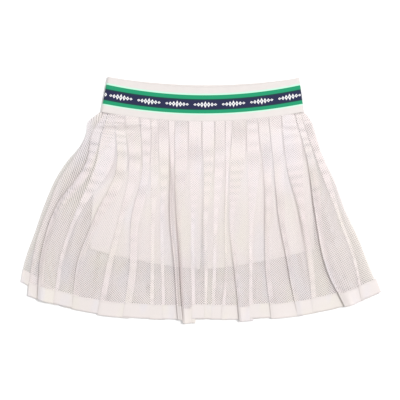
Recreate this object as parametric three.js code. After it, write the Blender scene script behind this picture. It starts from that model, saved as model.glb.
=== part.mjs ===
// A pleated tennis skirt laid flat on a table, front up: a wide elastic waistband, a knife-pleated
// mesh skirt with an opaque hem band, and plain inner shorts that hang from the waist seam.
// Units are millimetres. +X is the wearer's left, +Y runs up to the waist, +Z rises from the table.
import * as THREE from 'three';

// ---- driving sizes -------------------------------------------------------------------------------
const SEAM_GAP = 0.3; // clear space between pieces that are sewn together
const MESH_THICK = 1.0;
const SHORTS_THICK = 1.0;
const ELASTIC_THICK = 3.0; // the elastic is folded double

const WAIST_SEAM = { left: -155, right: 160, centreY: 122.5, endY: 136 }; // lower edge of the waistband
const BAND_TOP = { left: -145, right: 153, centreY: 172, endY: 189, tilt: -0.01 };
const BACK_RIM = 2.5; // the back of the waistband stands this much higher at the centre
const HEM = { centreY: -185.5, cornerY: -145, halfWidth: 278, roundness: 3.2 };
const HEM_BAND = 22.5; // height of the opaque band along the hem

const FRONT_EDGE = { // outline of the front panel at the waist, half way down and at the hem
  left: { waist: -155, mid: -240, hem: -270 },
  right: { waist: 160, mid: 222, hem: 279 },
};
const BACK_EDGE = { // the back spreads a little wider on the left
  left: { waist: -155, mid: -240, hem: -280 },
  right: { waist: 160, mid: 220, hem: 276 },
};

const LAYER_PITCH = MESH_THICK + SEAM_GAP; // from one folded layer to the next
const FOLD_CLEAR = 1.5; // a face is down at its lowest layer this far before the next fold edge
const SHORTS_FLOOR = 4.1; // the back panel's folds end below this height
const FRONT_FLOOR = SHORTS_FLOOR + 2 * SHORTS_THICK + 2 * SEAM_GAP; // the front lies on the shorts
const FRONT_SIDE_FLOOR = 4.0; // and comes down to the back panel at the sides and the hem
const SIDE_DROP = 13; // width of that slope at each side
const SHORTS_END = 0.83; // share of the way down where the shorts no longer lift the front
const FRONT_STATIONS = [0, 0.1, 0.25, 0.5, 0.75, 0.84]; // sections of the panels, as shares of the way down
const BACK_STATIONS = [0, 0.25, 0.5, 0.75];
const MOST_LAP = 0.45; // a lap takes at most this share of its own face
const BAND_HEIGHT = 9.8; // both halves of the flattened waistband, one on the other
const BAND_END_RISE = 1; // the straight part where the two halves meet at the sides
const BAND_STEPS = 12; // spans across each half of the waistband

// Front pleats from left to right: x of each fold edge at the waist, half way down and at the hem,
// how deep the cloth is lapped under it, and how much lower its face hangs at the hem.
const FRONT_PLEATS = [
  { waist: -146, mid: -229, hem: -257, lap: 8, drop: 0 },
  { waist: -137, mid: -198, hem: -224, lap: 8, drop: 0 },
  { waist: -129, mid: -176, hem: -200, lap: 6, drop: 0 },
  { waist: -121, mid: -158, hem: -181, lap: 7, drop: 0 },
  { waist: -110, mid: -128, hem: -160, lap: 9, drop: 0 },
  { waist: -98, mid: -105, hem: -122, lap: 9, drop: 0 },
  { waist: -86, mid: -80, hem: -84, lap: 8, drop: 0 },
  { waist: -72, mid: -61, hem: -61, lap: 7, drop: 0 },
  { waist: -58, mid: -44, hem: -34, lap: 5, drop: 0 },
  { waist: -47, mid: -36, hem: -26, lap: 6, drop: 5 },
  { waist: -33, mid: -17, hem: -14, lap: 6, drop: 0 },
  { waist: -16, mid: 2, hem: 4, lap: 7, drop: 0 },
  { waist: 4, mid: 19, hem: 19, lap: 6, drop: 0 },
  { waist: 30, mid: 34, hem: 32, lap: 6, drop: 0 },
  { waist: 42, mid: 44, hem: 58, lap: 5, drop: 2.5 },
  { waist: 60, mid: 73, hem: 77, lap: 8, drop: 0 },
  { waist: 82, mid: 98, hem: 106, lap: 9, drop: 0 },
  { waist: 98, mid: 120, hem: 149, lap: 9, drop: 0 },
  { waist: 114, mid: 150, hem: 171, lap: 9, drop: 0 },
  { waist: 130, mid: 175, hem: 219, lap: 9, drop: 0 },
  { waist: 144, mid: 206, hem: 243, lap: 8, drop: 0 },
];
const BACK_PLEATS = { count: 19, waist: 143, mid: 208, hem: 250, lap: 7, unevenness: 4 };

// Sections of one leg of the shorts, from the waist seam to the leg hem, as its outer and inner edge.
const SHORTS_SECTIONS = [
  { outerX: 138, outerY: 133, innerX: 0.15, innerY: 122 },
  { outerX: 154, outerY: 92, innerX: 0.15, innerY: 80 },
  { outerX: 168, outerY: 40, innerX: 0.15, innerY: 25 },
  { outerX: 171, outerY: -12, innerX: 0.15, innerY: -26 },
  { outerX: 175, outerY: -77, innerX: 1.5, innerY: -108 },
];

const MESH_LOOK = { color: 0xece3e0, roughness: 0.75 };
const HEM_LOOK = { color: 0xf3ece8, roughness: 0.8 };
const SHORTS_LOOK = { color: 0xf4eee9, roughness: 0.8 };
const ELASTIC_LOOK = { color: 0xf3e8e4, roughness: 0.7 };

const skirt = new THREE.Group();

// ---- helpers -------------------------------------------------------------------------------------
const { lerp, smoothstep } = THREE.MathUtils;

function addPiece(name, geometry, look) {
  const piece = new THREE.Mesh(geometry, new THREE.MeshStandardMaterial({ ...look, metalness: 0 }));
  piece.name = name;
  skirt.add(piece);
}

// x of a line that starts at `waist`, passes `mid` half way down and ends at `hem`
function along({ waist, mid, hem }, t) {
  return waist * (1 - t) * (1 - 2 * t) + mid * 4 * t * (1 - t) + hem * t * (2 * t - 1);
}

const waistSeamY = (x) => {
  const across = (x - (WAIST_SEAM.left + WAIST_SEAM.right) / 2) / ((WAIST_SEAM.right - WAIST_SEAM.left) / 2);
  return lerp(WAIST_SEAM.centreY, WAIST_SEAM.endY, across * across);
};

const hemY = (x) => lerp(HEM.centreY, HEM.cornerY, Math.min(1, Math.abs(x) / HEM.halfWidth) ** HEM.roundness);

// The two skins of a wall whose middle line, in one section, runs through `line`: each point moves
// half the thickness along the section's normal, with mitred corners.
function skins(line, thickness) {
  const normals = line.slice(1).map((b, i) => new THREE.Vector2(line[i].z - b.z, b.x - line[i].x).normalize());
  return line.map((point, i) => {
    const before = normals[Math.max(i - 1, 0)];
    const after = normals[Math.min(i, normals.length - 1)];
    const miter = before.clone().add(after).normalize();
    const reach = thickness / 2 / miter.dot(after);
    const side = (sign) => new THREE.Vector3(
      point.x + sign * reach * miter.x, point.y, point.z + sign * reach * miter.y);
    return { upper: side(1), lower: side(-1) };
  });
}

// A closed wall through sections of middle lines that all have the same number of points. The lines
// run along +X and the sections follow each other along -Y.
function wall(sections, thickness) {
  const rings = sections.map((line) => {
    const pair = skins(line, thickness);
    return [...pair.map((p) => p.upper), ...pair.map((p) => p.lower).reverse()];
  });
  const size = rings[0].length;
  const index = [];
  const quad = (a, b, c, d) => index.push(a, b, c, a, c, d);
  for (let row = 0; row + 1 < rings.length; row++) {
    for (let i = 0; i < size; i++) {
      const next = (i + 1) % size;
      quad(row * size + i, (row + 1) * size + i, (row + 1) * size + next, row * size + next);
    }
  }
  const last = (rings.length - 1) * size;
  for (let i = 0; i + 1 < size / 2; i++) {
    const [upper, lower] = [i, size - 1 - i];
    quad(upper, upper + 1, lower - 1, lower);
    quad(last + upper, last + lower, last + lower - 1, last + upper + 1);
  }
  const geometry = new THREE.BufferGeometry();
  geometry.setAttribute('position', new THREE.Float32BufferAttribute(
    rings.flat().flatMap((p) => p.toArray()), 3));
  geometry.setIndex(index);
  geometry.computeVertexNormals();
  return geometry;
}

// ---- pleated panels ------------------------------------------------------------------------------
// One section of a knife-pleated panel, `t` of the way down. Each face leaves its fold edge on the
// outside layer, goes down to the inside layer before the next fold edge, laps under it and comes
// back between the two. `depth` is 0 on the outside layer, 1 between and 2 on the inside layer.
function pleatedSection({ edge, pleats, rampShare, layerZ }, t) {
  const [left, right] = [along(edge.left, t), along(edge.right, t)];
  const folds = [left, ...pleats.map((pleat) => along(pleat, t)), right];
  const lapOf = (i) => (i > 0 ? Math.min(pleats[i - 1].lap, MOST_LAP * (folds[i + 1] - folds[i])) : 0);
  const dropOf = (i) => (i > 0 ? pleats[i - 1].drop : 0);
  const line = [];
  const add = (x, depth, drop) => line.push({ x, y: panelY(edge, x, t) - drop * t, z: layerZ(x, depth, t) });
  add(left, 1, 0);
  pleats.forEach((pleat, before) => {
    const x = folds[before + 1];
    const lap = lapOf(before + 1);
    const bottom = x - FOLD_CLEAR;
    const ramp = rampShare * (bottom - folds[before] - lapOf(before));
    const lapDrop = (dropOf(before) + pleat.drop) / 2;
    add(bottom - ramp, before > 0 ? 0 : 1, dropOf(before));
    add(bottom, 2, dropOf(before));
    add(x + lap, 2, lapDrop);
    add(x + lap, 1, lapDrop);
    add(x, 1, pleat.drop);
    add(x, 0, pleat.drop);
  });
  add(right, 0, 0);
  return line;
}

// y on a panel: the share of the way across stays the same from the waist seam to the hem.
function panelY({ left, right }, x, t) {
  const share = (x - along(left, t)) / (along(right, t) - along(left, t));
  const seamY = waistSeamY(lerp(left.waist, right.waist, share)) - SEAM_GAP / 2;
  return lerp(seamY, hemY(lerp(left.hem, right.hem, share)), t);
}

// How far the front is lifted by the shorts under it: fully over them, not at all at its sides and
// along the hem.
function liftOverShorts(x, t) {
  const toSide = Math.min(x - along(FRONT_EDGE.left, t), along(FRONT_EDGE.right, t) - x);
  return smoothstep(toSide, 0, SIDE_DROP) * (1 - smoothstep(t, SHORTS_END, 1));
}

function frontLayerZ(x, depth, t) {
  const floor = lerp(FRONT_SIDE_FLOOR, FRONT_FLOOR, liftOverShorts(x, t)) + MESH_THICK / 2;
  return floor + (2 - depth) * LAYER_PITCH;
}

const backLayerZ = (x, depth) => MESH_THICK / 2 + depth * LAYER_PITCH;

const backPleats = Array.from({ length: BACK_PLEATS.count }, (_, i) => {
  const across = (2 * (i + 0.5)) / BACK_PLEATS.count - 1;
  const sway = BACK_PLEATS.unevenness * Math.sin(i * 2.4);
  return {
    waist: BACK_PLEATS.waist * across,
    mid: BACK_PLEATS.mid * across + sway / 2,
    hem: BACK_PLEATS.hem * across + sway,
    lap: BACK_PLEATS.lap,
    drop: 0,
  };
});

const front = { edge: FRONT_EDGE, pleats: FRONT_PLEATS, rampShare: 0.8, layerZ: frontLayerZ };
const back = { edge: BACK_EDGE, pleats: backPleats, rampShare: 0.2, layerZ: backLayerZ };

const PANEL_LENGTH = WAIST_SEAM.centreY - HEM.centreY;
const BAND_START = 1 - HEM_BAND / PANEL_LENGTH;
const HALF_GAP = SEAM_GAP / 2 / PANEL_LENGTH;

function addPanel(name, panel, stations, look) {
  addPiece(name, wall(stations.map((t) => pleatedSection(panel, t)), MESH_THICK), look);
}

addPanel('skirt_front', front, [...FRONT_STATIONS, BAND_START - HALF_GAP], MESH_LOOK);
addPanel('skirt_back', back, [...BACK_STATIONS, BAND_START - HALF_GAP], MESH_LOOK);
addPanel('hem_front', front, [BAND_START + HALF_GAP, 1], HEM_LOOK);
addPanel('hem_back', back, [BAND_START + HALF_GAP, 1], HEM_LOOK);

// ---- waistband -----------------------------------------------------------------------------------
// Half of the flattened elastic tube: a long strip whose ends turn to meet the other half. `face` is
// 1 for the front half, above, and -1 for the back half.
function bandSection(left, right, edgeY, face) {
  const middle = BAND_HEIGHT / 2;
  const inset = ELASTIC_THICK / 2;
  const radius = middle - inset - BAND_END_RISE;
  const line = [];
  const add = (x, away) => line.push({ x, y: edgeY(x), z: middle + face * away });
  const turn = [0, Math.PI / 4, Math.PI / 2];
  const addTurn = (end, inward) => (a) => (
    add(end + inward * (inset + radius * (1 - Math.cos(a))), BAND_END_RISE + radius * Math.sin(a)));
  add(left + inset, SEAM_GAP / 2);
  turn.forEach(addTurn(left, 1));
  for (let i = 1; i < BAND_STEPS; i++) {
    add(lerp(left, right, i / BAND_STEPS), middle - inset);
  }
  turn.toReversed().forEach(addTurn(right, -1));
  add(right - inset, SEAM_GAP / 2);
  return line;
}

function bandTopY(x, rise) {
  const across = x / ((BAND_TOP.right - BAND_TOP.left) / 2);
  return lerp(BAND_TOP.centreY + rise, BAND_TOP.endY, Math.min(1, across * across)) + BAND_TOP.tilt * x;
}

function addWaistband(name, face, rise) {
  const sections = [
    bandSection(BAND_TOP.left, BAND_TOP.right, (x) => bandTopY(x, rise), face),
    bandSection(WAIST_SEAM.left, WAIST_SEAM.right, (x) => waistSeamY(x) + SEAM_GAP / 2, face),
  ];
  addPiece(name, wall(sections, ELASTIC_THICK), ELASTIC_LOOK);
}

addWaistband('waistband_front', 1, 0);
addWaistband('waistband_back', -1, BACK_RIM);

// ---- inner shorts --------------------------------------------------------------------------------
function addShortsPanel(name, side, floor) {
  const across = side > 0 ? [0, 0.33, 0.67, 1] : [1, 0.67, 0.33, 0];
  const sections = SHORTS_SECTIONS.map(({ outerX, outerY, innerX, innerY }) => across.map((share) => ({
    x: side * lerp(innerX, outerX, share),
    y: lerp(innerY, outerY, share ** 1.5),
    z: floor + SHORTS_THICK / 2,
  })));
  addPiece(name, wall(sections, SHORTS_THICK), SHORTS_LOOK);
}

addShortsPanel('shorts_back_left', 1, SHORTS_FLOOR);
addShortsPanel('shorts_back_right', -1, SHORTS_FLOOR);
addShortsPanel('shorts_front_left', 1, SHORTS_FLOOR + SHORTS_THICK + SEAM_GAP);
addShortsPanel('shorts_front_right', -1, SHORTS_FLOOR + SHORTS_THICK + SEAM_GAP);

// ---- origin at the middle of the underside -------------------------------------------------------
const middle = new THREE.Box3().setFromObject(skirt).getCenter(new THREE.Vector3());
skirt.position.set(-middle.x, -middle.y, 0);

export default skirt;
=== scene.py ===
import math

import bpy
import numpy as np
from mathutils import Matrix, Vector


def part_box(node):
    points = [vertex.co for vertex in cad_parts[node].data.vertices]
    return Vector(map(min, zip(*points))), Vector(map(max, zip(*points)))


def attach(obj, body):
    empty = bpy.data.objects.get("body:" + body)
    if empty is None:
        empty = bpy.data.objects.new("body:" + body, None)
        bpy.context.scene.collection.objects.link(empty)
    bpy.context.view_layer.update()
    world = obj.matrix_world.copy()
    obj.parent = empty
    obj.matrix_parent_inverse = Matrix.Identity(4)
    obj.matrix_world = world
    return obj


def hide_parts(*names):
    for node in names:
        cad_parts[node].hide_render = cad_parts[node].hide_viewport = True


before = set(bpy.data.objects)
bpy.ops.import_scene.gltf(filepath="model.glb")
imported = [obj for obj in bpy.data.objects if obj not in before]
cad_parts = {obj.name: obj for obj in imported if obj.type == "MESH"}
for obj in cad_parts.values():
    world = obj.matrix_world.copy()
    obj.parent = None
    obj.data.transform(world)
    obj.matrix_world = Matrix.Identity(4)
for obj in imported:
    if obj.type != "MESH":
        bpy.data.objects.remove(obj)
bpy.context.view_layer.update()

# ---- sizes, in millimetres unless a name says otherwise; meshes are written in metres -------------
MM = 0.001
VIEW_WIDTH = 620  # what the camera takes in across the table

SEAM_LEFT, SEAM_RIGHT = -155, 160  # ends of the waist seam, the waistband's lower edge
SEAM_CENTRE_Y, SEAM_END_Y = 122.5, 137.5
BAND_LEFT, BAND_RIGHT = -145, 153  # ends of the waistband's upper edge
BAND_CENTRE_Y, BAND_END_Y, BAND_TILT = 173.3, 189.8, -0.01
HEM_CENTRE_Y, HEM_CORNER_Y, HEM_HALF = -185.5, -145, 278
HEM_BEND_LEFT, HEM_BEND_RIGHT = 2.8, 3.2  # powers: a higher one keeps the hem straight for longer
HEM_BAND = 22.5

# The tables give x with the seam's left end at SEAM_LEFT. This shift puts that end where the CAD's is.
ORIGIN_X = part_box("waistband_front")[0].x / MM - SEAM_LEFT

# Shares of the way from the waist seam to the hem at which the tables give x.
EDGE_LEVELS = np.array([0, 0.05, 0.12, 0.21, 0.27, 0.38, 0.52, 0.72, 0.88, 1])
FRONT_LEFT = (-155, -174, -178, -190, -201, -221, -237, -257, -265, -269)
FRONT_RIGHT = (160, 172, 179, 187, 195, 209, 224, 249, 267, 280)
BACK_LEFT = (-155, -172, -177, -189, -203, -223, -240, -259, -274, -280)
BACK_RIGHT = (160, 170, 176, 185, 192, 206, 221, 246, 264, 277)

LEVELS = np.array([0, 0.1, 0.25, 0.5, 0.75, 1])

# Front pleats, left to right: x of the fold edge and height of the fold at each level, depth of the
# lap, width of the open gap beside the fold, and how much lower the face hangs.
FRONT_PLEATS = [
    ((-150, -168, -178, -224, -247, -254), (0.8, 3.0, 6.0, 8.0, 8.5, 7.0), 8, 5.0, 0),
    ((-144, -154, -163, -194, -219, -230), (0.5, 0.6, 0.5, 0.6, 0.8, 1.0), 6, 0.3, -1.5),
    ((-135, -132, -131, -163, -191, -201), (0.5, 0.6, 1.5, 5.0, 5.0, 0.8), 10, 2.0, 0),
    ((-118, -115, -112, -128, -147, -161), (0.5, 0.5, 0.6, 1.4, 1.2, 1.6), 10, 0.8, 1.6),
    ((-94, -92, -91, -108, -112, -123), (0.5, 0.5, 1.0, 2.5, 0.8, 0.8), 12, 1.5, 0),
    ((-77, -77, -78, -78, -78, -80), (0.5, 0.5, 0.4, 0.4, 0.4, 0.4), 6, 0.2, 0.9),
    ((-66, -66, -64, -63, -62, -61), (0.5, 0.5, 0.4, 0.4, 0.4, 0.5), 5, 0.2, 0),
    ((-50, -49, -48, -47.5, -41, -35), (0.5, 1.2, 6.5, 10.0, 11.0, 8.0), 4, 10.0, 0.8),
    ((-40, -41, -41, -38, -32.5, -28.5), (0.5, 0.6, 3.0, 6.0, 8.0, 7.0), 5, 4.0, 6),
    ((-19, -19, -18, -16, -15, -15), (0.5, 0.5, 0.4, 0.4, 0.5, 0.8), 6, 0.3, -1),
    ((2, 2, 4, 4, 5, 5), (0.5, 0.5, 0.6, 1.4, 0.4, 0.4), 8, 0.3, -0.8),
    ((22, 22, 21, 19, 18, 16), (0.8, 1.4, 0.5, 0.4, 0.4, 0.4), 6, 0.2, 0),
    ((38, 38, 38, 35.6, 37.2, 31), (0.5, 0.5, 1.2, 1.6, 1.0, 1.2), 5, 0.8, 0.5),
    ((49, 47, 44, 43.5, 51.5, 59), (0.5, 0.5, 0.5, 1.6, 6.0, 7.0), 6, 3.5, 3.2),
    ((71, 71, 72, 74, 74, 76), (0.5, 0.5, 0.4, 0.4, 0.4, 0.4), 6, 0.2, -0.8),
    ((88, 91, 95.5, 98.5, 100, 108), (0.5, 0.5, 2.0, 5.0, 4.0, 3.0), 8, 4.0, 1),
    ((105, 108, 112, 120, 134, 150), (0.5, 0.5, 2.0, 7.0, 8.0, 1.0), 8, 6.0, 0),
    ((125, 127, 132, 151, 165, 173), (0.5, 0.5, 2.0, 6.0, 2.5, 0.6), 9, 2.5, -1),
    ((146, 154, 164, 175.5, 189, 222), (0.5, 0.6, 5.5, 10.0, 11.5, 11.0), 9, 11.0, 0.6),
    ((155, 164, 179, 206, 232, 250), (0.5, 1.0, 2.0, 0.4, 0.35, 2.5), 5, 0.2, -1.5),
]
BACK_COUNT = 19
BACK_FOLD = 3.0

BACK_TOP = 3.6  # highest of the back panel
SHORTS_BACK_Z, SHORTS_FRONT_Z = 4.0, 4.9
BACK_CORNER_LIFT = 17  # the back's left hem corner is pulled up
FRONT_FLOOR = 7.6  # the front's lowest layer over the shorts
FRONT_LOW_FLOOR = 3.9  # and beside and below them

WALL_LEAN = 0.75  # beside a gap the fold's wall leans back by this share of the gap's width
SEAM_RISE = 1.25  # the front climbs to the elastic's edge, where it is sewn on
BACK_RISE = 4.5  # how far the back of the band shows above the front
BAND_Z = (1.4, 8.2)  # middle of the elastic at the back and at the front
ELASTIC, HEM_THICK, SHORTS_THICK = 2.4, 0.7, 0.6

# Sections of one leg of the shorts: outer and inner edge
SHORTS = np.array([
    # outer x, y, inner x, y
    (138, 140, 0.1, 128),
    (154, 96, 0.1, 84),
    (167, 42, 0.1, 28),
    (171, -12, 0.5, -26),
    (175, -76, 3.0, -107),
], float)
SHORTS_MIDDLE = 2  # x of the seam between the legs
# the front of the shorts has slid into a fold: its upper edge, and how far it stands up
SHORTS_FOLD_X = (-175, -145, -111, -89, -46, -8, 18, 60, 105, 175)
SHORTS_FOLD_Y = (8, 31, 45, 53, 67, 60, 79, 77, 74, 60)
SHORTS_FOLD_RISE = 1.2

# Creases of the front besides its pleats: start, end, width and height (a trough is below 0).
CREASES = [
    ((-162, 116), (-80, 118), 3.0, 3.2),
    ((-162, 109), (-100, 108), 3.4, -2.0),
    ((-158, 125), (-72, 123), 2.2, -1.6),
    ((-92, 112), (-56, 116), 3.0, 1.6),
    ((-164, 66), (-136, 92), 3.5, 2.4),
    ((114, 112), (158, 106), 4.0, -2.0),
    ((-188, -14), (-205, -92), 6.0, 3.0),
    ((-168, -26), (-196, -118), 5.0, -1.2),
    ((-208, 10), (-236, -80), 5.0, 2.2),
    ((-146, -92), (-176, -150), 5.0, 2.6),
    ((-128, -86), (-108, -130), 4.0, -0.9),
    ((196, -18), (203, -60), 5.0, 3.0),
    ((208, -40), (246, -128), 7.0, 2.4),
    ((-14, -70), (-6, -110), 4.0, 2.2),
    ((70, -60), (80, -130), 4.0, 1.8),
]


# ---- shape helpers --------------------------------------------------------------------------------
def through(levels, values, t):
    """A smooth curve through values given at levels, read at t."""
    values = np.asarray(values, float)
    slope = np.gradient(values, levels)
    i = np.clip(np.searchsorted(levels, t, side="right") - 1, 0, len(levels) - 2)
    step = levels[i + 1] - levels[i]
    s = (t - levels[i]) / step
    h = (2 * s**3 - 3 * s**2 + 1, s**3 - 2 * s**2 + s, -2 * s**3 + 3 * s**2, s**3 - s**2)
    ends = h[0] * values[i] + h[1] * step * slope[i]
    return ends + h[2] * values[i + 1] + h[3] * step * slope[i + 1]


def ease(x, low, high):
    """0 below low, 1 above high, smooth between."""
    s = np.clip((x - low) / (high - low), 0, 1)
    return s * s * (3 - 2 * s)


def lerp(a, b, s):
    return a + (b - a) * s


def seam_y(x):
    across = (x - (SEAM_LEFT + SEAM_RIGHT) / 2) / ((SEAM_RIGHT - SEAM_LEFT) / 2)
    return lerp(SEAM_CENTRE_Y, SEAM_END_Y, np.clip(across**2, 0, 1.3))


def hem_y(x):
    bend = np.where(x < 0, HEM_BEND_LEFT, HEM_BEND_RIGHT)
    return lerp(HEM_CENTRE_Y, HEM_CORNER_Y, np.minimum(1, np.abs(x) / HEM_HALF) ** bend)


def rounded(points):
    """One step of cubic B-spline subdivision along axis 1."""
    mid = (points[:, :-1] + points[:, 1:]) / 2
    kept = points.copy()
    kept[:, 1:-1] = (points[:, :-2] + 6 * points[:, 1:-1] + points[:, 2:]) / 8
    out = np.empty((points.shape[0], 2 * points.shape[1] - 1, points.shape[2]))
    out[:, 0::2], out[:, 1::2] = kept, mid
    return out


def ridge(x, y, start, end, width, height):
    """A soft straight ridge from start to end, or a trough where height is negative."""
    a, b = np.array(start, float), np.array(end, float)
    d = b - a
    s = ((x - a[0]) * d[0] + (y - a[1]) * d[1]) / (d @ d)
    off = np.hypot(x - a[0] - s * d[0], y - a[1] - s * d[1])
    return height * np.exp(-((off / width) ** 2)) * ease(s, -0.15, 0.2) * ease(1 - s, -0.15, 0.2)


def mesh_object(name, vertices, faces, uv, material):
    mesh = bpy.data.meshes.new(name)
    mesh.from_pydata(vertices.tolist(), [], faces.tolist())
    layer = mesh.uv_layers.new(name="Cloth")
    layer.data.foreach_set("uv", uv.reshape(-1).astype(np.float32))
    mesh.shade_smooth()
    mesh.materials.append(material)
    obj = bpy.data.objects.new(name, mesh)
    bpy.context.scene.collection.objects.link(obj)
    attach(obj, "root")
    return obj


def placed(points):
    """From the tables' millimetres to the frame's metres."""
    return (points + np.array([ORIGIN_X, 0, 0])) * MM


def grid_faces(rows, columns):
    i = np.arange((rows - 1) * columns).reshape(rows - 1, columns)[:, :-1].ravel()
    return np.stack([i, i + columns, i + columns + 1, i + 1], 1)


def sheet_mesh(name, grid, uv, material):
    """One skin through grid[row, column]; uv has a value for each corner of each cell."""
    rows, columns = grid.shape[:2]
    faces = grid_faces(rows, columns)
    return mesh_object(name, placed(grid.reshape(-1, 3)), faces, uv.reshape(-1, 2), material)


def cell_uv(u, v):
    """The uv of each cell's four corners, from a grid of u and of v."""
    uv = np.stack([u, v], -1)
    return np.stack([uv[:-1, :-1], uv[1:, :-1], uv[1:, 1:], uv[:-1, 1:]], 2)


def normals_of(grid):
    along = np.gradient(grid, axis=0)
    across = np.gradient(grid, axis=1)
    n = np.cross(along, across)
    return n / np.maximum(np.linalg.norm(n, axis=2, keepdims=True), 1e-9)


def thick_mesh(name, grid, thickness, cells, material):
    """A closed wall round the grid; cells is its corners' uv."""
    rows, columns = grid.shape[:2]
    n = normals_of(grid) * thickness / 2
    points = np.concatenate([(grid + n).reshape(-1, 3), (grid - n).reshape(-1, 3)])
    top = grid_faces(rows, columns)
    size = rows * columns
    bottom = top[:, ::-1] + size
    edge = np.concatenate([
        np.arange(columns),
        np.arange(1, rows) * columns + columns - 1,
        (rows - 1) * columns + np.arange(columns - 2, -1, -1),
        np.arange(rows - 2, 0, -1) * columns,
    ])
    after = np.roll(edge, -1)
    rim = np.stack([edge, after, after + size, edge + size], 1)
    corner_uv = cells.reshape(-1, 4, 2)
    flat = np.zeros((size, 2))
    flat[top.ravel()] = corner_uv.reshape(-1, 2)
    rim_uv = np.stack([flat[edge], flat[after], flat[after], flat[edge]], 1)
    uv = np.concatenate([corner_uv, corner_uv[:, ::-1], rim_uv])
    faces = np.concatenate([top, bottom, rim])
    return mesh_object(name, placed(points), faces, uv, material)


# ---- materials ------------------------------------------------------------------------------------
class Nodes:
    """A material's node tree, with short names for the nodes that the cloths share."""

    def __init__(self, name):
        self.material = bpy.data.materials.new(name)
        self.material.use_nodes = True
        self.tree = self.material.node_tree
        self.tree.nodes.clear()
        self.shader = self.node("ShaderNodeBsdfPrincipled")
        self.out = self.node("ShaderNodeOutputMaterial")
        self.link(self.shader.outputs[0], self.out.inputs[0])
        self.uv = self.node("ShaderNodeUVMap")
        self.uv.uv_map = "Cloth"
        split = self.node("ShaderNodeSeparateXYZ")
        self.link(self.uv.outputs[0], split.inputs[0])
        self.u, self.v = split.outputs[0], split.outputs[1]

    def node(self, kind):
        return self.tree.nodes.new(kind)

    def link(self, a, b):
        self.tree.links.new(a, b)

    def put(self, socket, value):
        if isinstance(value, (int, float)):
            socket.default_value = value
        else:
            self.link(value, socket)

    def math(self, operation, a, b=0.0, c=None):
        n = self.node("ShaderNodeMath")
        n.operation = operation
        self.put(n.inputs[0], a)
        self.put(n.inputs[1], b)
        if c is not None:
            self.put(n.inputs[2], c)
        return n.outputs[0]

    def steps(self, value, low, high):
        """0 below low, 1 above high, smooth between."""
        n = self.node("ShaderNodeMapRange")
        n.interpolation_type = "SMOOTHSTEP"
        self.put(n.inputs[0], value)
        n.inputs[1].default_value, n.inputs[2].default_value = low, high
        return n.outputs[0]

    def band(self, value, low, high, soft):
        """1 between low and high."""
        rise = self.steps(value, low - soft, low + soft)
        fall = self.steps(value, high - soft, high + soft)
        return self.math("SUBTRACT", rise, fall)

    def wave(self, value, period):
        """A cosine from 0 to 1 with its top at 0."""
        n = self.math("COSINE", self.math("MULTIPLY", value, 2 * math.pi / period))
        return self.math("MULTIPLY_ADD", n, 0.5, 0.5)

    def noise(self, scale, detail=2.0, stretch=None):
        n = self.node("ShaderNodeTexNoise")
        n.inputs["Scale"].default_value = scale
        n.inputs["Detail"].default_value = detail
        if stretch:
            m = self.node("ShaderNodeMapping")
            m.inputs["Scale"].default_value = stretch
            self.link(self.uv.outputs[0], m.inputs[0])
            self.link(m.outputs[0], n.inputs["Vector"])
        else:
            self.link(self.uv.outputs[0], n.inputs["Vector"])
        return n.outputs[0]

    def mix(self, factor, a, b):
        n = self.node("ShaderNodeMix")
        n.data_type = "RGBA"
        self.put(n.inputs[0], factor)
        for socket, value in ((n.inputs[6], a), (n.inputs[7], b)):
            if isinstance(value, tuple):
                socket.default_value = (*value, 1)
            else:
                self.link(value, socket)
        return n.outputs[2]

    def bump(self, height, distance, strength=1.0):
        n = self.node("ShaderNodeBump")
        n.inputs["Distance"].default_value = distance
        n.inputs["Strength"].default_value = strength
        self.link(height, n.inputs["Height"])
        self.link(n.outputs[0], self.shader.inputs["Normal"])

    def sheer(self, colour, share, covered=None):
        """Thin cloth: a share of its light comes through from behind; covered is 0 in a hole."""
        through = self.node("ShaderNodeBsdfTranslucent")
        self.link(colour, through.inputs[0])
        cloth = self.node("ShaderNodeMixShader")
        cloth.inputs[0].default_value = share
        self.link(self.shader.outputs[0], cloth.inputs[1])
        self.link(through.outputs[0], cloth.inputs[2])
        if covered is None:
            self.link(cloth.outputs[0], self.out.inputs[0])
            return
        holes = self.node("ShaderNodeMixShader")
        self.link(covered, holes.inputs[0])
        self.link(self.node("ShaderNodeBsdfTransparent").outputs[0], holes.inputs[1])
        self.link(cloth.outputs[0], holes.inputs[2])
        self.link(holes.outputs[0], self.out.inputs[0])

    def finish(self, roughness, sheen):
        self.put(self.shader.inputs["Roughness"], roughness)
        self.shader.inputs["Sheen Weight"].default_value = sheen
        self.shader.inputs["Sheen Roughness"].default_value = 0.4
        self.shader.inputs["Specular IOR Level"].default_value = 0.3
        return self.material


HOLE_ACROSS, HOLE_ALONG = 3.8 * MM, 3.5 * MM  # pitch of the mesh's holes
# whites, each as its pink, its cream and its lavender cast
MESH_WHITES = ((0.92, 0.845, 0.838), (0.915, 0.855, 0.813), (0.90, 0.845, 0.862))
# the back panel is the same cloth as the front, painted darker all over: painted shade for the layer
# lying under the front and the shorts
BACK_MESH_SHADED_WHITES = ((0.64, 0.60, 0.565), (0.64, 0.605, 0.545), (0.62, 0.585, 0.585))
HEM_WHITES = ((0.90, 0.84, 0.82), (0.90, 0.85, 0.80), (0.88, 0.835, 0.845))
# the shorts' darker tone, painted in a strip just above their fold as its shade
SHORTS_FOLD_SHADE = (0.92, 0.87, 0.86)
SHORTS_WHITES = ((0.95, 0.92, 0.89), (0.95, 0.925, 0.88), (0.945, 0.92, 0.90))
MESH_SHEER, KNIT_SHEER = 0.2, 0.25  # share of the light that shines through the threads
# painted shade: the threads are painted darker beside each hole, for the shade on their rounded sides
RIM_SHADE = 0.9  # tone of the threads beside a hole, as a share of the white
HOLE_EDGE = (0.22, 0.28)  # radii, as shares of the pitch, between which a hole's edge falls
CROWN_EDGE = (0.26, 0.38)  # and between which the threads rise to their full height
HOLE_VEIL = 0.1  # what the finest threads cover of a hole


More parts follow.
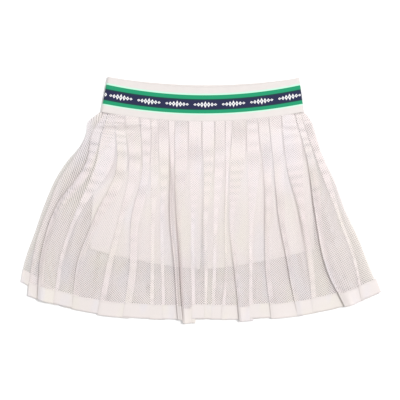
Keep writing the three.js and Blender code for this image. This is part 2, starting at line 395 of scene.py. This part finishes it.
def cast(n, whites, scale, stretch):
    """A white that drifts between its casts along the cloth, differently on each pleat."""
    pink, cream, lavender = whites
    warm = n.steps(n.noise(scale, 2, stretch), 0.48, 0.66)
    cool = n.steps(n.noise(scale * 1.3, 2, (stretch[0], stretch[1] * 0.7, 3)), 0.52, 0.68)
    return n.mix(cool, n.mix(warm, pink, cream), lavender)


def mesh_cloth(name, whites):
    """Open warp-knit mesh: staggered round holes with rounded threads between, the threads painted
    darker beside each hole as shade.
    """
    n = Nodes(name)
    distances = []
    for shift in (0, 0.5):
        across = n.math("ADD", n.math("DIVIDE", n.u, HOLE_ACROSS), shift)
        along = n.math("ADD", n.math("DIVIDE", n.v, HOLE_ALONG), shift)
        dx = n.math("SUBTRACT", n.math("FRACT", across), 0.5)
        dy = n.math("SUBTRACT", n.math("FRACT", along), 0.5)
        square = n.math("ADD", n.math("MULTIPLY", dx, dx), n.math("MULTIPLY", dy, dy))
        distances.append(n.math("SQRT", square))
    nearest = n.math("MINIMUM", distances[0], distances[1])
    covered = n.math("MULTIPLY_ADD", n.steps(nearest, *HOLE_EDGE), 1 - HOLE_VEIL, HOLE_VEIL)
    crown = n.steps(nearest, *CROWN_EDGE)
    white = cast(n, whites, 16, (1, 0.5, 1))
    shade = n.node("ShaderNodeVectorMath")
    shade.operation = "SCALE"
    n.link(white, shade.inputs[0])
    # painted shade: the base colour darkens towards each hole's edge
    n.link(n.math("MULTIPLY_ADD", crown, 1 - RIM_SHADE, RIM_SHADE), shade.inputs["Scale"])
    n.link(shade.outputs[0], n.shader.inputs["Base Color"])
    n.bump(crown, 0.15 * MM)
    n.sheer(shade.outputs[0], MESH_SHEER, covered)
    return n.finish(0.75, 0.3)


def knit_cloth(name, whites, wale, course, depth, fold_shade=None):
    """Close knit: columns of small loops, painted a little darker between the loops as shade. Its last
    argument, if given, is a darker tone used where the point attribute read here is 0: painted shade
    in a strip above the shorts' fold.
    """
    n = Nodes(name)
    column = n.wave(n.u, wale)
    row = n.wave(n.math("ADD", n.v, n.math("MULTIPLY", column, course * 0.4)), course)
    loops = n.math("MULTIPLY_ADD", row, 0.5, n.math("MULTIPLY", column, 0.5))
    white = cast(n, whites, 20, (1, 0.5, 1))
    if fold_shade:
        # painted shade: where the attribute is 0 the cloth takes the darker tone passed in
        out_of_fold_shade = n.node("ShaderNodeAttribute")
        out_of_fold_shade.attribute_name = "out_of_fold_shade"
        white = n.mix(out_of_fold_shade.outputs["Fac"], fold_shade, white)
    shade = n.node("ShaderNodeVectorMath")
    shade.operation = "SCALE"
    n.link(white, shade.inputs[0])
    # painted shade: the base colour is up to 8% darker between the loops, where they dip
    n.link(n.math("MULTIPLY_ADD", loops, 0.08, 0.92), shade.inputs["Scale"])
    n.link(shade.outputs[0], n.shader.inputs["Base Color"])
    n.bump(loops, depth)
    n.sheer(shade.outputs[0], KNIT_SHEER)
    return n.finish(0.8, 0.25)


STRIPES = (  # share of the band's height where each stripe starts, from the seam up
    ("lower_edge", 0.188), ("lower_green", 0.226), ("lower_teal", 0.333), ("navy", 0.366),
    ("upper_teal", 0.626), ("upper_green", 0.662), ("upper_edge", 0.784), ("end", 0.832),
)
BAND_HEIGHT = 51 * MM
ELASTIC_WHITE = (0.71, 0.665, 0.64)
ELASTIC_SHADE = (0.66, 0.615, 0.60)
MINT = (0.52, 0.82, 0.66)
# the green and navy turn to a darker copy in the weave's grooves, where the bump is low: painted shade
GREEN = (0.008, 0.32, 0.145)
GREEN_GROOVE_SHADE = (0.004, 0.24, 0.115)
TEAL = (0.004, 0.035, 0.045)
NAVY = (0.014, 0.018, 0.070)
NAVY_GROOVE_SHADE = (0.009, 0.011, 0.045)
MOTIF_REPEAT = 45 * MM
LOZENGE_PITCH = 5.4 * MM
LOZENGE_HALF_WIDTH = 2.6 * MM
LOZENGE_HALF_HEIGHT, LOZENGE_STEP = 5.2 * MM, 1.1 * MM  # the middle one, and what each next one loses
MOTIF_WHITE = (0.86, 0.85, 0.86)


def elastic_cloth():
    """Woven elastic with a striped tape; on the navy stripe a row of graded lozenges."""
    n = Nodes("elastic_cloth")
    start = dict(STRIPES)
    up = n.math("DIVIDE", n.v, BAND_HEIGHT)
    soft = 0.004
    edges = n.band(up, start["lower_edge"], start["end"], soft)
    green = n.band(up, start["lower_green"], start["upper_edge"], soft)
    teal = n.band(up, start["lower_teal"], start["upper_green"], soft)
    navy = n.band(up, start["navy"], start["upper_teal"], soft)

    rib = n.wave(n.v, 1.05 * MM)
    pick = n.wave(n.u, 0.8 * MM)
    weave = n.math("MULTIPLY_ADD", rib, 0.65, n.math("MULTIPLY", pick, 0.35))
    tone = n.noise(80, 3)
    colour = n.mix(tone, ELASTIC_WHITE, ELASTIC_SHADE)
    colour = n.mix(edges, colour, MINT)
    # painted shade: the stripe's colour is darker in the weave's grooves
    colour = n.mix(green, colour, n.mix(weave, GREEN_GROOVE_SHADE, GREEN))
    colour = n.mix(teal, colour, TEAL)
    colour = n.mix(navy, colour, n.mix(weave, NAVY_GROOVE_SHADE, NAVY))

    middle = (start["navy"] + start["upper_teal"]) / 2 * BAND_HEIGHT
    local = n.math("SUBTRACT", n.math("FLOORED_MODULO", n.u, MOTIF_REPEAT), MOTIF_REPEAT / 2)
    step = n.math("ROUND", n.math("DIVIDE", local, LOZENGE_PITCH))
    rank = n.math("MINIMUM", n.math("ABSOLUTE", step), 4.0)
    dx = n.math("ABSOLUTE", n.math("SUBTRACT", local, n.math("MULTIPLY", step, LOZENGE_PITCH)))
    dy = n.math("ABSOLUTE", n.math("SUBTRACT", n.v, middle))
    half = n.math("MULTIPLY_ADD", rank, -LOZENGE_STEP, LOZENGE_HALF_HEIGHT)
    size = n.math("ADD", n.math("DIVIDE", dx, LOZENGE_HALF_WIDTH), n.math("DIVIDE", dy, half))
    inside = n.math("SUBTRACT", 1.0, n.steps(size, 0.92, 1.08))
    hollow = n.steps(size, 0.28, 0.42)
    shown = n.math("LESS_THAN", rank, 3.5)
    motif = n.math("MULTIPLY", n.math("MULTIPLY", inside, hollow), shown)
    colour = n.mix(motif, colour, MOTIF_WHITE)
    n.link(colour, n.shader.inputs["Base Color"])
    raised = n.math("MULTIPLY_ADD", motif, 0.8, n.math("MULTIPLY_ADD", edges, 0.6, weave))
    n.bump(raised, 0.2 * MM)
    return n.finish(0.7, 0.15)


mesh_material = mesh_cloth("mesh_cloth", MESH_WHITES)
# the same mesh cloth with darker whites, a painted shade for the back layer
back_mesh_shaded_material = mesh_cloth("mesh_cloth_back_painted_shade", BACK_MESH_SHADED_WHITES)
hem_material = knit_cloth("hem_cloth", HEM_WHITES, 0.9 * MM, 1.1 * MM, 0.12 * MM)
# the shorts are painted in a darker tone along a strip above their fold, as the fold's shade
shorts_material = knit_cloth(
    "shorts_cloth", SHORTS_WHITES, 0.7 * MM, 0.8 * MM, 0.06 * MM, SHORTS_FOLD_SHADE
)
elastic_material = elastic_cloth()
thread_material = knit_cloth("thread", HEM_WHITES, 0.4 * MM, 0.5 * MM, 0.05 * MM)


# ---- stitching ------------------------------------------------------------------------------------
STITCH, STITCH_GAP, THREAD = 2.4, 1.0, 0.26  # length, space and half thickness
ROUND = 6  # sides of a stitch
TAPER = 0.3  # size of a stitch's ends

# Faces that close a stitch's two ends: the ring of points, and the points of the face in it.
END_FACES = ((0, (0, 5, 4, 3)), (0, (0, 3, 2, 1)), (3, (0, 1, 2, 3)), (3, (0, 3, 4, 5)))


def stitches(name, lines):
    """Rows of stitches along lines, each an array of points; all in one mesh."""
    points, faces = [], []
    for line in lines:
        along = np.concatenate([[0], np.cumsum(np.linalg.norm(np.diff(line, axis=0), axis=1))])
        for start in np.arange(1.0, along[-1] - STITCH, STITCH + STITCH_GAP):
            at = start + STITCH * np.array([0, 0.15, 0.85, 1])
            spine = np.stack([np.interp(at, along, line[:, k]) for k in range(3)], 1)
            way = spine[-1] - spine[0]
            side = np.cross(way, (0, 0, 1))
            side = side / max(np.linalg.norm(side), 1e-9)
            up = np.cross(side, way)
            up = up / max(np.linalg.norm(up), 1e-9)
            first = len(points)
            for centre, size in zip(spine, (TAPER, 1, 1, TAPER)):
                for angle in np.arange(ROUND) * 2 * math.pi / ROUND:
                    out = math.cos(angle) * side + math.sin(angle) * up
                    points.append(centre + size * THREAD * out)
            for r in range(3):
                for k in range(ROUND):
                    a, b = first + r * ROUND + k, first + r * ROUND + (k + 1) % ROUND
                    faces.append((a, b, b + ROUND, a + ROUND))
            for low, ring in END_FACES:
                faces.append(tuple(first + low * ROUND + k for k in ring))
    points, faces = np.array(points), np.array(faces)
    uv = points[faces][..., :2] * MM
    return mesh_object(name, placed(points), faces, uv, thread_material)


# ---- pleated panels -------------------------------------------------------------------------------
FACE_SHARES = (0, 0.1, 0.3, 0.6, 0.86, 1)  # of the way across a pleat's face, from its fold
FACE_HEIGHTS = (1, 1, 0.86, 0.55, 0.2, 0)  # of the face there, between FACE_FLOOR and the crest
FACE_FLOOR = 0.22
LAP_PATH = (  # share of the lap's depth, share of the height of the face over it
    (0.5, 0.15), (0.9, 0.2), (1, 0.4), (0.9, 0.6), (0.5, 0.62), (0.12, 0.62),
)
FOLD_HEIGHT = 0.45  # of the crest, at which a fold's edge turns
WAIST_PRESS, LEAST_CREST, LAST_CREST = 0.6, 0.25, 0.6  # folds are pressed flatter at the waist
LAP_ROOM, WAIST_LAP_ROOM = 0.42, 0.96  # of the next face that a lap may take, and takes at the waist


class Panel:
    """A knife-pleated panel. Its grid has twelve control points for each pleat, rounded twice.
    Where flip is set it is the back panel, upside down on the table."""

    def __init__(self, left, right, pleats, creases=(), flip=False):
        self.left, self.right, self.pleats, self.flip = left, right, pleats, flip
        self.creases = creases

    def support(self, x, y, t):
        """Height of what the front panel lies on."""
        left, right = through(EDGE_LEVELS, self.left, t), through(EDGE_LEVELS, self.right, t)
        side = np.minimum(x - left, right - x)
        over = ease(side, 6, 30) * (1 - ease(-y, 88, 128))
        return lerp(FRONT_LOW_FLOOR, FRONT_FLOOR, over)

    def y(self, x, t):
        left, right = through(EDGE_LEVELS, self.left, t), through(EDGE_LEVELS, self.right, t)
        share = (x - left) / (right - left)
        top = seam_y(lerp(self.left[0], self.right[0], share))
        foot = lerp(self.left[-1], self.right[-1], share)
        lift = BACK_CORNER_LIFT * ease(-foot, 215, 280) if self.flip else 0
        return lerp(top, hem_y(foot) + lift, t)

    def section(self, t):
        """Control points (x, height of the cloth's relief, drop) across the panel at t."""
        left, right = through(EDGE_LEVELS, self.left, t), through(EDGE_LEVELS, self.right, t)
        starts = [left] + [through(LEVELS, p[0], t) for p in self.pleats]
        pressed = lerp(WAIST_PRESS, 1, ease(t, 0.1, 0.45))
        heights = [max(LEAST_CREST, pressed * through(LEVELS, p[1], t)) for p in self.pleats]
        crests = [1.0, *heights, LAST_CREST]
        ends = [*starts[1:], right]
        deep = 1 - ease(t, 0.12, 0.6)  # the laps are deepest at the waist
        rows = []
        for i, (a, b) in enumerate(zip(starts, ends)):
            first, last = i == 0, i == len(self.pleats)
            drop = 0 if first else self.pleats[i - 1][4]
            lap, gap = (0, 0) if last else self.pleats[i][2:4]
            crest = crests[i]
            run = max(b - a - gap * ease(t, 0.08, 0.6), 0.5 * (b - a))
            lean = 0 if first else WALL_LEAN * self.pleats[i - 1][3] * ease(t, 0.08, 0.6)
            rows.append((a, 0.2 if first else FOLD_HEIGHT * crest, drop))
            for share in FACE_SHARES[1:]:
                rows.append((a + lean * (1 - share) + share * run, self.face(crest, share), drop))
            if last:
                continue
            room = ends[i + 1] - b
            under = lerp(min(lap, LAP_ROOM * room), WAIST_LAP_ROOM * room, deep)
            for share, level in LAP_PATH:
                over = self.face(crests[i + 1], share * under / room)
                rows.append((b + share * under, level * over, drop))
        return np.array(rows)

    @staticmethod
    def face(crest, share):
        """Height of a pleat's face, a share of the way from its fold to the next one."""
        return lerp(FACE_FLOOR, crest, np.interp(share, FACE_SHARES, FACE_HEIGHTS))

    def grid(self, stations):
        control = rounded(rounded(np.stack([self.section(t) for t in stations])))
        t = np.asarray(stations)[:, None]
        x, height, drop = control[..., 0], control[..., 1], control[..., 2]
        sway = 0.5 * np.sin(9 * t + 0.11 * x) * ease(t, 0.1, 0.4)
        y = self.y(x, t) - drop * t**2
        if self.flip:
            z = BACK_TOP - height
        else:
            z = self.support(x, y, t) + height + SEAM_RISE * (1 - ease(t, 0, 0.09))
        for start, end, width, rise in self.creases:
            z = z + ridge(x, y, start, end, width, rise)
        return np.stack([x + sway, y, z], -1)


YOKE, YOKE_STATIONS = 0.14, 34  # the wrinkled part below the waistband has more rows of its own
STATIONS = 58
HEM_STATIONS = 13
COLUMNS = 48  # of the grid, for each pleat
PLEAT_SHIFT = 60  # added to u for each pleat, so that its tone differs from its neighbour's
HEM_OVERLAP = 0.008  # share of the way by which the mesh reaches under the hem band
SEAM_OVERLAP = 0.02  # and under the waistband
BAND_START = 1 - HEM_BAND / (SEAM_CENTRE_Y - HEM_CENTRE_Y)


def pleat_uv(grid, pleat_columns):
    """Cloth coordinates in metres. u starts again at each fold, so it stays the same down a fold."""
    across = np.linalg.norm(np.diff(grid, axis=1), axis=2)
    down = np.linalg.norm(np.diff(grid, axis=0), axis=2)
    run = np.concatenate([np.zeros((grid.shape[0], 1)), np.cumsum(across, 1)], 1)
    v = -np.concatenate([np.zeros((1, grid.shape[1])), np.cumsum(down, 0)], 0)
    v = np.repeat(v[:, v.shape[1] // 2][:, None], grid.shape[1], 1)
    columns = np.arange(grid.shape[1] - 1)
    pleat = columns // pleat_columns
    start = run[:, np.minimum(pleat * pleat_columns, grid.shape[1] - 1)]
    u0 = run[:, :-1] - start + pleat * PLEAT_SHIFT
    u1 = run[:, 1:] - start + pleat * PLEAT_SHIFT
    corners = [
        (u0[:-1], v[:-1, :-1]), (u0[1:], v[1:, :-1]), (u1[1:], v[1:, 1:]), (u1[:-1], v[:-1, 1:]),
    ]
    return np.stack([np.stack([u, w], -1) for u, w in corners], 2) * MM


front_panel = Panel(FRONT_LEFT, FRONT_RIGHT, FRONT_PLEATS, CREASES)


def back_pleats():
    pleats = []
    for i in range(BACK_COUNT):
        across = 2 * (i + 0.5) / BACK_COUNT - 1
        sway = 4 * math.sin(2.4 * i)
        xs = []
        for level in LEVELS:
            left = through(EDGE_LEVELS, BACK_LEFT, level)
            right = through(EDGE_LEVELS, BACK_RIGHT, level)
            xs.append(lerp(left, right, (across + 1) / 2) + sway * level)
        pleats.append((tuple(xs), (0.6, 1, 1.5, BACK_FOLD, BACK_FOLD, BACK_FOLD), 7, 1.0, 0))
    return pleats


back_panel = Panel(BACK_LEFT, BACK_RIGHT, back_pleats(), flip=True)


def add_panel(name, panel, stations, node):
    grid = panel.grid(stations)
    # the back panel takes the darker-painted copy of the mesh cloth, a painted shade
    material = back_mesh_shaded_material if panel.flip else mesh_material
    piece = sheet_mesh(name, grid, pleat_uv(grid, COLUMNS), material)
    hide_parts(node)
    return piece


def add_hem(name, panel, node, outside):
    """The hem band, with a row of stitches on its outside near each edge."""
    grid = panel.grid(np.linspace(BAND_START, 1, HEM_STATIONS))
    piece = thick_mesh(name, grid, HEM_THICK, pleat_uv(grid, COLUMNS), hem_material)
    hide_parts(node)
    over = grid + normals_of(grid) * outside * (HEM_THICK / 2 + 0.1)
    thread = stitches(name + "_stitches", [over[1, ::3], over[-2, ::3]])


def add_panels():
    yoke = np.linspace(-SEAM_OVERLAP, YOKE, YOKE_STATIONS)
    below = np.linspace(YOKE, BAND_START + HEM_OVERLAP, STATIONS)
    down = np.concatenate([yoke[:-1], below])
    front = add_panel("mesh_front", front_panel, down, "skirt_front")
    back = add_panel("mesh_back", back_panel, down[::2], "skirt_back")
    add_hem("hem_band_front", front_panel, "hem_front", 1)
    add_hem("hem_band_back", back_panel, "hem_back", -1)


add_panels()


# ---- inner shorts ---------------------------------------------------------------------------------
SHORTS_ROWS, SHORTS_COLUMNS = 90, 50
HEM_THREAD_LIFT = 0.42  # from the middle of the cloth to the middle of the shorts' hem stitches
FOLD_SHADE_STRIP = (22, 60)  # above the fold's edge, the painted shade of the fold fades out between these distances


def shorts_leg(name, side, z, node, folded=False):
    levels = np.linspace(0, 1, len(SHORTS))
    t = np.linspace(0, 1, SHORTS_ROWS)
    edges = (through(levels, SHORTS[:, k], t)[:, None] for k in range(4))
    outer_x, outer_y, inner_x, inner_y = edges
    s = np.linspace(0, 1, SHORTS_COLUMNS)[None, :]
    x = SHORTS_MIDDLE + side * lerp(inner_x, outer_x, s)
    y = lerp(inner_y, outer_y, s**1.5)
    if side < 0:
        x, y = x[:, ::-1], y[:, ::-1]
    height = z + 0.12 * np.sin(0.09 * x + 0.05 * y)
    # 1 everywhere except a strip just above the fold, which is painted in the darker tone as the
    # fold's shade
    out_of_fold_shade = 1 + 0 * x
    if folded:
        below = np.interp(x, SHORTS_FOLD_X, SHORTS_FOLD_Y) - y
        roll = 0.5 * np.exp(-((below - 3) / 3) ** 2)
        height = height + SHORTS_FOLD_RISE * (ease(below, -1, 2.5) + roll)
        height = height - SHORTS_FOLD_RISE * ease(below, 60, 130)
        out_of_fold_shade = lerp(ease(-below, *FOLD_SHADE_STRIP), 1, ease(below, -1, 2))
    grid = np.stack([x, y, height], -1)
    piece = thick_mesh(name, grid, SHORTS_THICK, cell_uv(x, y) * MM, shorts_material)
    layer = piece.data.attributes.new("out_of_fold_shade", "FLOAT", "POINT")
    layer.data.foreach_set("value", np.tile(out_of_fold_shade.ravel(), 2).astype(np.float32))
    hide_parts(node)
    lip = grid[-5] + np.array([0, 0, HEM_THREAD_LIFT if folded else -HEM_THREAD_LIFT])
    thread = stitches(name + "_stitches", [lip])


shorts_leg("shorts_front_l", 1, SHORTS_FRONT_Z, "shorts_front_left", folded=True)
shorts_leg("shorts_front_r", -1, SHORTS_FRONT_Z, "shorts_front_right", folded=True)
shorts_leg("shorts_back_l", 1, SHORTS_BACK_Z, "shorts_back_left")
shorts_leg("shorts_back_r", -1, SHORTS_BACK_Z, "shorts_back_right")


# ---- waistband ------------------------------------------------------------------------------------
EDGE_ROUND = 0.022  # how far the strip's rounded edges reach, as a share of its height


def band_top_y(x, rise):
    across = x / ((BAND_RIGHT - BAND_LEFT) / 2)
    return lerp(BAND_CENTRE_Y + rise, BAND_END_Y, np.minimum(1.1, across**2)) + BAND_TILT * x


def add_waistband():
    """The elastic ring, laid flat: front, right turn, back, left turn; a rounded strip all round."""
    low, high = BAND_Z
    radius = (high - low) / 2
    flat = np.linspace(0, 1, 120)
    turn = np.linspace(0, np.pi, 14)[1:-1]
    share = np.concatenate([flat, 1 + 0 * turn, flat[::-1], 0 * turn])
    out = np.concatenate([0 * flat, np.sin(turn), 0 * flat, -np.sin(turn)])
    level = np.concatenate([1 + 0 * flat, np.cos(turn), -1 + 0 * flat, -np.cos(turn)])
    back = (1 - level) / 2
    profile = []  # (share of the height, offset out of the middle), round the strip's section
    for a in np.linspace(0, 1, 25):
        profile.append((a, 1))
    for a in np.linspace(0, np.pi, 6)[1:-1]:
        profile.append((1 + EDGE_ROUND * math.sin(a), math.cos(a)))
    for a in np.linspace(1, 0, 13):
        profile.append((a, -1))
    for a in np.linspace(0, np.pi, 6)[1:-1]:
        profile.append((0 - EDGE_ROUND * math.sin(a), -math.cos(a)))
    height = np.array([p[0] for p in profile])[:, None]
    offset = np.array([p[1] for p in profile])[:, None] * ELASTIC / 2
    inset = radius + ELASTIC / 2
    left = lerp(SEAM_LEFT, BAND_LEFT, height) + inset
    right = lerp(SEAM_RIGHT, BAND_RIGHT, height) - inset
    x = lerp(left, right, share[None, :]) + out[None, :] * (radius + offset)
    z = (low + high) / 2 + level[None, :] * (radius + offset)
    y = lerp(seam_y(x), band_top_y(x, BACK_RISE * back[None, :]), height)
    grid = np.stack([x, y, z], -1)
    closed = np.concatenate([grid[:1], grid[:1, :1]], 1)
    ring = np.linalg.norm(np.diff(closed, axis=1), axis=2)
    around = np.concatenate([[0], np.cumsum(ring[0])]) * MM
    rows, columns = grid.shape[:2]
    faces, uv = [], []
    up = height[:, 0] * BAND_HEIGHT
    up = np.concatenate([up, up[:1]])
    for r in range(rows):
        r2 = (r + 1) % rows
        for c in range(columns):
            c2 = (c + 1) % columns
            this, above = r * columns, r2 * columns
            faces.append((this + c, this + c2, above + c2, above + c))
            u0, u1, v0, v1 = around[c], around[c + 1], up[r], up[r + 1]
            uv.append([(u0, v0), (u1, v0), (u1, v1), (u0, v1)])
    points = placed(grid.reshape(-1, 3))
    piece = mesh_object("waistband", points, np.array(faces), np.array(uv), elastic_material)
    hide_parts("waistband_front", "waistband_back")


add_waistband()


# ---- table, light and camera ----------------------------------------------------------------------
TABLE_HALF = 3.0  # metres, as are the places and sizes below
KEY_PLACE, KEY_SIZE, KEY_POWER = (1.2, 0.5, 2.8), 1.0, 68
FILL_PLACE, FILL_SIZE, FILL_POWER = (-1.1, 0.7, 1.8), 1.6, 8
SKY = 0.58
LENS = 85
CAMERA_X, CAMERA_FAR = -0.0008, 0.008  # the camera's shift, and its distance beyond VIEW_WIDTH's


def add_stage():
    mesh = bpy.data.meshes.new("table_top")
    half = TABLE_HALF
    corners = [(-half, -half, 0), (half, -half, 0), (half, half, 0), (-half, half, 0)]
    mesh.from_pydata(corners, [], [(0, 1, 2, 3)])
    table = bpy.data.objects.new("table_top", mesh)
    bpy.context.scene.collection.objects.link(table)
    paint = bpy.data.materials.new("table_paint")
    paint.use_nodes = True
    shader = paint.node_tree.nodes["Principled BSDF"]
    shader.inputs["Base Color"].default_value = (0.96, 0.96, 0.96, 1)
    shader.inputs["Roughness"].default_value = 0.9
    mesh.materials.append(paint)


def add_light(name, place, size, power):
    light = bpy.data.lights.new(name, "AREA")
    light.shape, light.size, light.energy = "DISK", size, power
    lamp = bpy.data.objects.new(name, light)
    lamp.location = place
    toward = -np.array(place, float)
    lamp.rotation_euler = Vector(toward).to_track_quat("-Z", "Y").to_euler()
    bpy.context.scene.collection.objects.link(lamp)


def add_camera():
    camera = bpy.data.cameras.new("camera")
    camera.lens = LENS
    eye = bpy.data.objects.new("camera", camera)
    height = VIEW_WIDTH * MM * camera.lens / camera.sensor_width + CAMERA_FAR
    eye.location = (CAMERA_X, 0, height)
    bpy.context.scene.collection.objects.link(eye)
    bpy.context.scene.camera = eye


add_stage()
add_light("key", KEY_PLACE, KEY_SIZE, KEY_POWER)
add_light("fill", FILL_PLACE, FILL_SIZE, FILL_POWER)
world = bpy.data.worlds.new("studio")
world.use_nodes = True
world.node_tree.nodes["Background"].inputs[0].default_value = (1, 1, 1, 1)
world.node_tree.nodes["Background"].inputs[1].default_value = SKY
bpy.context.scene.world = world
bpy.context.scene.view_settings.view_transform = "Standard"
add_camera()
